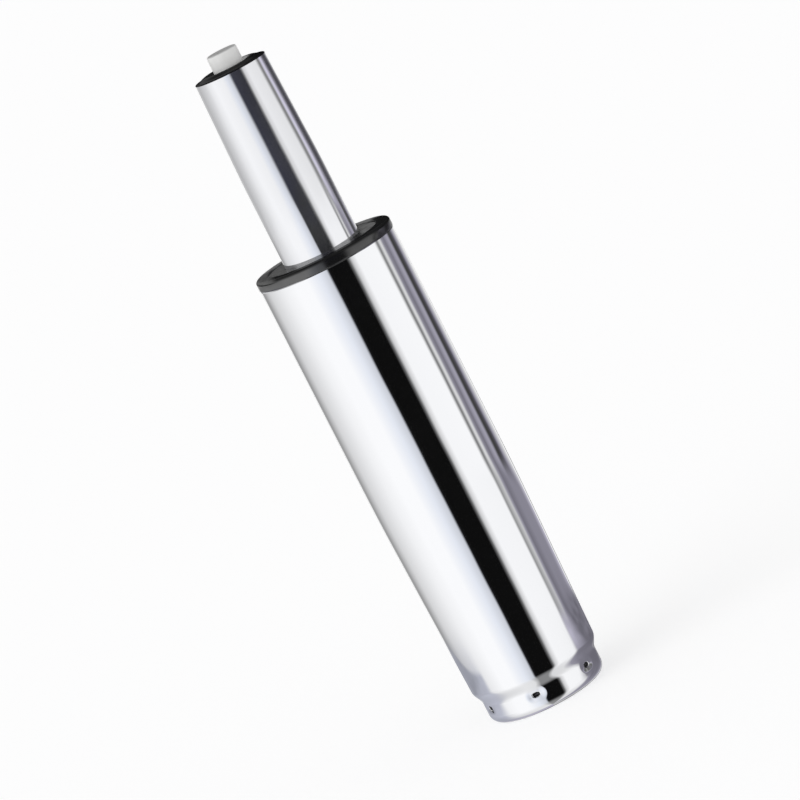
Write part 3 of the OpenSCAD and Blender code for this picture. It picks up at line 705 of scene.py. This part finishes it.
# Painted light: both sides of the disc are painted a lighter grey, one side more than the other.
painted_light_sides = 1.1 * aside.ease(13 * MM, 16 * MM) + 0.3 * aside.ease(-12 * MM, -15 * MM)
painted_light = painted_light_sides * (0.6 + 0.6 * patch_noise.ease(0.35, 0.7))
feed(shader, {
    "Base Color": painted_light.mix((0.03, 0.03, 0.03, 1), PAINTED_LIGHT_GREY),
    "Roughness": 0.2 + 0.1 * patch_noise,
    "Specular IOR Level": 0.2,
    "Normal": relief(bare, pores, 0.15, 0.00004),
})
print("made", grey_plastic.name)

# %% [markdown]
# ## The pale button and the inner plastics
# The button is natural plastic, a slightly warm grey white. Its pressed face is painted a darker grey than
# its side, as painted shade on the top. The cage and the other inner mouldings are a creamier plastic of
# the same kind.

# %% Pale plastic finishes
pale_plastic, bare, shader = new_finish("pale_button_plastic")
mottle = grain(bare, EVEN, 420, 4.0)
# Painted shade: the top face of the button is painted a darker grey.
painted_shade_top = height_in(bare).ease((BUTTON_TOP - 0.7) * MM, BUTTON_TOP * MM)
clean = mottle.mix((0.84, 0.84, 0.83, 1), (0.92, 0.92, 0.91, 1))
feed(shader, {
    "Base Color": (painted_shade_top * (0.55 + 0.5 * mottle)).mix(clean, (0.42, 0.42, 0.415, 1)),
    "Roughness": 0.38 + 0.15 * mottle,
    "Normal": relief(bare, mottle, 0.1, 0.00005),
})

cream_plastic, bare, shader = new_finish("cream_inner_plastic")
mottle = grain(bare, EVEN, 300, 4.0)
feed(shader, {
    "Base Color": mottle.mix((0.70, 0.67, 0.58, 1), (0.80, 0.78, 0.70, 1)),
    "Roughness": 0.4 + 0.2 * mottle,
})
print("made", pale_plastic.name, "and", cream_plastic.name)

# %% [markdown]
# ## Zinc, steel, alloy and rubber
# The plate and the washers are zinc plated, with a dull crystal mottle. The rod, races and balls are ground
# steel with fine marks round the axis. The piston and valve are turned alloy with tool rings. The seals are
# black rubber.

# %% Zinc and ground steel
zinc, bare, shader = new_finish("zinc_plated_steel")
crystal = bare.node("ShaderNodeTexVoronoi", {"feature": "F1"}, {"Vector": place(bare), "Scale": 700.0},
                    out="Color")
crystal = bare.node("ShaderNodeSeparateColor", {}, {0: crystal})
cloud = grain(bare, EVEN, 180, 4.0)
feed(shader, {
    "Base Color": cloud.mix((0.50, 0.50, 0.49, 1), (0.68, 0.68, 0.66, 1)),
    "Metallic": 1.0,
    "Roughness": 0.28 + 0.12 * crystal + 0.1 * cloud,
    "Normal": relief(bare, crystal, 0.1, 0.00004),
})

ground_steel, bare, shader = new_finish("ground_steel")
marks = grain(bare, (1, 1, 8), 700, 3.0)
feed(shader, {
    "Base Color": marks.mix((0.46, 0.47, 0.49, 1), (0.58, 0.59, 0.61, 1)),
    "Metallic": 1.0,
    "Roughness": 0.2 + 0.14 * marks,
    "Normal": relief(bare, marks, 0.12, 0.00003),
})
print("made", zinc.name, "and", ground_steel.name)

# %% Turned alloy and rubber
turned_alloy, bare, shader = new_finish("turned_alloy")
rings = bare.node("ShaderNodeTexWave", {"wave_type": "BANDS", "bands_direction": "Z"},
                  {"Vector": place(bare), "Scale": 900.0, "Distortion": 1.5, "Detail": 2.0}, out="Fac")
feed(shader, {
    "Base Color": rings.mix((0.62, 0.62, 0.60, 1), (0.74, 0.74, 0.72, 1)),
    "Metallic": 1.0,
    "Roughness": 0.3 + 0.1 * rings,
    "Normal": relief(bare, rings, 0.15, 0.00003),
})

rubber, bare, shader = new_finish("black_rubber")
speckle = grain(bare, EVEN, 1500, 4.0)
feed(shader, {
    "Base Color": speckle.mix((0.012, 0.012, 0.012, 1), (0.03, 0.03, 0.03, 1)),
    "Roughness": 0.55 + 0.2 * speckle,
    "Normal": relief(bare, speckle, 0.2, 0.00005),
})
print("made", turned_alloy.name, "and", rubber.name)

# %% Give every piece its finish
finish_of_slot = {"column_chrome": chrome, "cylinder_chrome": grease_chrome, "zinc_plate": zinc,
                  "bearing_steel": ground_steel, "black_plastic": black_plastic,
                  "grey_plastic": grey_plastic, "inner_plastic": cream_plastic, "rubber": rubber,
                  "alloy": turned_alloy, "button_nylon": pale_plastic}
for name, slot_name in shown.items():
    piece = bpy.data.objects[name] if name in stands_for else nodes[name]
    if not piece.material_slots:
        piece.data.materials.append(finish_of_slot[slot_name])
    for place_in_list in piece.material_slots:
        place_in_list.material = finish_of_slot[slot_name]
print(len(shown), "pieces have a finish from", len(finish_of_slot), "slots")

# %% [markdown]
# ## The room that the chrome mirrors
# A photographer lights chrome with what stands round it: white cards, a dark gap where the camera is, and a
# pale table. Here the world plays that room, but only to mirror rays. It is read by compass angle from the
# camera, with one ramp for each height that a ray can leave at: one for nearly level rays from the column
# and one for those from the cylinder, one for rays that dip to the table, one for those that meet it close
# to the foot, where the outer end of the left card is dull, and one for those that go almost straight down.

# %% Cards and gaps of the room
GREY, COOL, VIOLET = (1, 1, 1), (0.965, 1, 1.075), (0.965, 0.93, 1.11)
SLATE, DEEP = (0.95, 0.975, 1.11), (0.6, 0.7, 2.4)


def shine(light, tint=GREY):
    """The colour of a card that gives off this much light, where 1 is white paper in full light."""
    return tuple(light * part for part in tint) + (1,)


def compass(*stops):
    """Stops of a ramp over a full turn, from angles in degrees, lights and tints."""
    return [(0.5 + angle / 360, shine(*look)) for angle, *look in stops]


left_card = compass(
    (-152, 0.38), (-128, 0.80), (-89, 1.09), (-66, 1.19), (-44, 1.19), (-23, 1.00, COOL), (-8.9, 0.76, COOL),
    (-6.1, 0.011, COOL))
dull_card = compass(
    (-152, 0.38, SLATE), (-128, 0.42, SLATE), (-106, 0.58, SLATE), (-92, 0.95))
dark_gap = compass(
    (-2, 0.005), (27.5, 0.005), (31, 0.18), (35, 0.75), (43, 1.14))
level_ramp = left_card + dark_gap + compass(
    (83.5, 1.16), (86.2, 0.76), (89, 0.24), (91, 0.26), (95.5, 0.84), (98, 0.79), (102, 0.33, VIOLET),
    (108, 0.22, VIOLET), (114, 0.38, VIOLET), (120, 0.46, VIOLET), (126.5, 0.072), (131, 0.056),
    (138, 0.11, VIOLET), (145, 0.38, VIOLET), (158, 0.76))
table_ramp = left_card + dark_gap + compass(
    (85.5, 1.12), (90, 0.34), (99, 0.69), (103, 0.38, VIOLET), (108, 0.22, VIOLET), (122, 0.31, VIOLET),
    (146, 0.31, VIOLET), (159, 0.52, VIOLET))
foot_ramp = dull_card + left_card[3:] + dark_gap + compass(
    (76, 1.09), (84, 1.02), (89, 0.77), (94, 0.36, VIOLET), (99, 0.36, VIOLET), (105, 0.21, VIOLET),
    (112, 0.18, VIOLET), (118, 0.24, VIOLET), (131, 0.18, VIOLET), (145, 0.30, VIOLET), (160, 0.47, VIOLET))
spring_ramp = compass(
    (-152, 0.61), (-140, 0.54), (-112, 0.75), (-89, 1.01), (-67, 1.16), (-35, 1.09), (-23, 0.95, COOL),
    (-11.5, 0.75, COOL), (-8.4, 0.33, COOL), (-4.6, 0.011, DEEP), (25, 0.006, DEEP), (30, 0.23), (34, 0.76),
    (46, 1.03), (84, 0.96), (90.5, 0.49), (95.5, 0.19), (100, 0.36), (106, 0.82, VIOLET), (111, 0.72, VIOLET),
    (118.5, 0.28, VIOLET), (126, 0.068, VIOLET), (136, 0.053, VIOLET), (145, 0.11, VIOLET), (158, 0.47))
floor_ramp = compass(
    (-132, 0.54, VIOLET), (-110, 0.82), (-50, 0.97), (-20, 0.91), (-4, 0.29), (24, 0.29), (38, 0.85),
    (72, 0.89), (95, 0.38, VIOLET), (140, 0.37, VIOLET), (170, 0.61))
ramps = (level_ramp, table_ramp, foot_ramp, spring_ramp, floor_ramp)
print("ramps have", [len(ramp) for ramp in ramps], "stops")

# %% Read a mirror ray's heading and dip
DEGREES = 180 / math.pi
STRETCH_DIP, STRETCH = (-10.2, -7.4), 0.04
world = bpy.data.worlds.new("soft_studio")
scene.world = world
world.use_nodes = True
world.node_tree.nodes.clear()
room = Wire(world.node_tree)
to_camera = {"Rotation": (0, 0, -CAMERA_TURN)}
ray = room.node("ShaderNodeTexCoord", out="Generated")
ray = room.node("ShaderNodeMapping", {"vector_type": "POINT"}, {"Vector": ray, **to_camera})
ray_x, ray_y, ray_z = (room.node("ShaderNodeSeparateXYZ", {}, {0: ray}, out=axis) for axis in "XYZ")
dip = room.node("ShaderNodeMath", {"operation": "ARCSINE"}, {0: ray_z}) * DEGREES
heading = room.sum("ARCTAN2", ray_x, 0 - ray_y) * DEGREES
stretch = room.node("ShaderNodeMapRange", {}, {"Value": dip, "From Min": STRETCH_DIP[0],
                                               "From Max": STRETCH_DIP[1], "To Min": STRETCH, "To Max": 0.0})
heading = heading + room.sum("MAXIMUM", heading, 0.0) * stretch
off_front = room.node("ShaderNodeMath", {"operation": "ABSOLUTE"}, {0: heading})
half_turn = room.node("ShaderNodeMath", {"operation": "COSINE"}, {0: heading * (math.pi / 360)})
around = heading / 360 + 0.5
level_room, table_room, foot_room, spring_room, floor_room = (
    room.node("ShaderNodeValToRGB", {"stops": ramp}, {0: around}) for ramp in ramps)
print("rays are read with", len(world.node_tree.nodes), "nodes")

# %% [markdown]
# ## Back, top and backdrop
# Straight behind the part stands a white card with a narrow dark slit, which draws the lines along the
# tubes' outermost edges. Low behind it the room is dark, which is what a flat rim mirrors. Higher up it is
# light on the left and dark on the right, for the cap's face. Above that the room dims, and the ceiling is
# almost black, so that the tube's mouth draws no bright line under the collar. Other rays than mirror rays
# meet plain soft light, brighter near the horizon than overhead, and the camera sees a white backdrop.

# %% Put the room together
SPRING_DIP, TABLE_DIP, FLOOR_DIP = (-7.25, -6.75), (-11.4, -10.1), (-62.0, -22.0)
FOOT_DIP, FOOT_BOW = (-12.1, -10.9), 3.3
BACK_HALF, BACK_CARD, BACK_SLIT = (85, 115), (161.0, 168.0), (172.0, 175.5)
LOW_BACK, HIGH_BACK, HIGH_ALL = (-4.0, -2.0), (9.0, 11.0), (14.0, 30.0)
DIMMED, CEILING = (24.0, 38.0), (58.0, 70.0)
BLACK = (0, 0, 0, 1)

mirrored = dip.ease(*SPRING_DIP).mix(level_room, spring_room)
mirrored = dip.ease(*TABLE_DIP).mix(table_room, mirrored)
mirrored = (dip + FOOT_BOW * half_turn).ease(*FOOT_DIP).mix(foot_room, mirrored)
mirrored = off_front.ease(*BACK_CARD).mix(mirrored, shine(1.05))
mirrored = off_front.ease(*BACK_SLIT).mix(mirrored, shine(0.013))
mirrored = dip.ease(*FLOOR_DIP).mix(floor_room, mirrored)

behind = off_front.ease(*BACK_HALF)
low_room = behind.mix(mirrored, shine(0.010))
dim_room = dip.ease(-1.0, 45.0, 1.0, 0.55).mix(BLACK, level_room)
high_room = behind.mix(dim_room, ray_x.ease(-0.05, 0.03).mix(shine(0.78), shine(0.027)))
mirrored = dip.ease(*LOW_BACK).mix(mirrored, low_room)
mirrored = dip.ease(*HIGH_BACK).mix(mirrored, behind.mix(mirrored, high_room))
mirrored = dip.ease(*HIGH_ALL).mix(mirrored, high_room)
mirrored = dip.ease(*DIMMED).mix(mirrored, dim_room)
mirrored = dip.ease(*CEILING).mix(mirrored, shine(0.05))
print("room is mixed with", len(world.node_tree.nodes), "nodes")

# %% Show the room to mirror rays alone
plain = ray_z.ease(0.0, 0.9).mix((0.92, 0.92, 0.92, 1), (0.42, 0.42, 0.425, 1))
seen = room.node("ShaderNodeLightPath", out="Is Camera Ray").mix(plain, (0.98, 0.98, 0.98, 1))
seen = room.node("ShaderNodeLightPath", out="Is Glossy Ray").mix(seen, mirrored)
backdrop = room.node("ShaderNodeBackground", {}, {"Color": seen, "Strength": 1.0})
world_output = world.node_tree.nodes.new("ShaderNodeOutputWorld")
world.node_tree.links.new(backdrop.socket, world_output.inputs["Surface"])
print("world has", len(world.node_tree.nodes), "nodes")

# %% [markdown]
# ## Floor and lamp
# The floor is a plain white sheet that runs to the horizon. To the camera it adds a little light of its
# own, so that it reaches the backdrop's white, and the object's soft shadow stays on it. Mirror rays pass
# through it to the room, except behind a straight edge close to the foot: there the chrome shows a clouded
# dull patch, slate grey on the left and violet grey on the right, that is too near to belong to the far
# room, so it is painted on the floor for mirror rays alone. From below the sheet is clear, so that the
# underside of the foot shows. One very wide lamp from the left front gives the pale button a lighter and a
# darker side.

# %% Lay the floor
SHEET_SIZE, SHEET_GREY, SHEET_GLOW = 24, (0.66, 0.66, 0.66, 1), 0.57
bpy.ops.object.select_all(action="DESELECT")
bpy.ops.mesh.primitive_plane_add(size=SHEET_SIZE, location=(0, 0, 0))
floor = bpy.context.object
floor.name = "floor"
floor_finish = bpy.data.materials.new("white_sheet")
floor_finish.use_nodes = True
floor_finish.node_tree.nodes.clear()
floor.data.materials.append(floor_finish)
sheet = Wire(floor_finish.node_tree)
paper = sheet.node("ShaderNodeBsdfDiffuse", {}, {"Color": SHEET_GREY})
glow = sheet.node("ShaderNodeEmission", {}, {"Color": (1, 1, 1, 1), "Strength": SHEET_GLOW})
paper = sheet.node("ShaderNodeAddShader", {}, {0: paper, 1: glow})
print("floor is", SHEET_SIZE, "m wide")

# %% Paint the dull patch for mirror rays
PATCH_EDGE, EDGE_SLANT, CLEAR_STRIP = (-0.023, -0.009), 0.11, (0.012, 0.036)
PATCH_LEFT, PATCH_RIGHT, PATCH_REACH = (-0.110, -0.096), (0.15, 0.10), (0.18, 0.12)
spot = sheet.node("ShaderNodeTexCoord", out="Object")
spot = sheet.node("ShaderNodeMapping", {"vector_type": "POINT"}, {"Vector": spot, **to_camera})
spot_x, spot_y = (sheet.node("ShaderNodeSeparateXYZ", {}, {0: spot}, out=axis) for axis in "XY")
reach = sheet.node("ShaderNodeVectorMath", {"operation": "LENGTH"}, {0: spot}, out="Value")
past_edge = (spot_y + EDGE_SLANT * spot_x).ease(*PATCH_EDGE)
beside = sheet.node("ShaderNodeMath", {"operation": "ABSOLUTE"}, {0: spot_x}).ease(*CLEAR_STRIP)
close_by = spot_x.ease(*PATCH_LEFT) * spot_x.ease(*PATCH_RIGHT) * reach.ease(*PATCH_REACH) * beside
cloud = sheet.node("ShaderNodeTexNoise", {}, {"Vector": spot, "Scale": 38.0, "Detail": 1.0}).ease(0.3, 0.7)
dull_left = (0.8 * spot_y.ease(-0.012, 0.05) + 0.2 * cloud).mix(shine(0.64, SLATE), shine(0.37, SLATE))
dull_edge = reach.ease(0.05, 0.09).mix(shine(0.25, VIOLET), shine(0.61, VIOLET))
dull_right = (0.85 * spot_y.ease(-0.022, 0.022) + 0.15 * cloud).mix(dull_edge, shine(0.17, VIOLET))
dull = sheet.node("ShaderNodeEmission", {}, {"Color": spot_x.ease(-0.03, 0.03).mix(dull_left, dull_right)})
clear = sheet.node("ShaderNodeBsdfTransparent")
patch = sheet.node("ShaderNodeMixShader", {}, {0: past_edge * close_by, 1: clear, 2: dull})
mirror_ray = sheet.node("ShaderNodeLightPath", out="Is Glossy Ray")
surface = sheet.node("ShaderNodeMixShader", {}, {0: mirror_ray, 1: paper, 2: patch})
from_below = sheet.node("ShaderNodeNewGeometry", out="Backfacing")
surface = sheet.node("ShaderNodeMixShader", {}, {0: from_below, 1: surface, 2: clear})
floor_output = floor_finish.node_tree.nodes.new("ShaderNodeOutputMaterial")
floor_finish.node_tree.links.new(surface.socket, floor_output.inputs["Surface"])
print("floor's finish has", len(floor_finish.node_tree.nodes), "nodes")

# %% Hang the lamp
LAMP_POWER, LAMP_WIDTH = 0.5, math.radians(60)
LAMP_FRONT, LAMP_UP = 0.6, 0.7
bpy.ops.object.select_all(action="DESELECT")
bpy.ops.object.light_add(type="SUN", location=(0, 0, 1))
lamp = bpy.context.object
lamp.data.energy = LAMP_POWER
lamp.data.angle = LAMP_WIDTH
front = Vector((math.sin(CAMERA_TURN), -math.cos(CAMERA_TURN), 0))
lamp_from = (LAMP_FRONT * front - sideways + Vector((0, 0, LAMP_UP))).normalized()
lamp.rotation_mode = "QUATERNION"
lamp.rotation_quaternion = lamp_from.to_track_quat("Z", "Y")
lamp.visible_glossy = False
scene.view_settings.view_transform = "Standard"
print("lamp shines from", [round(v, 2) for v in lamp_from])
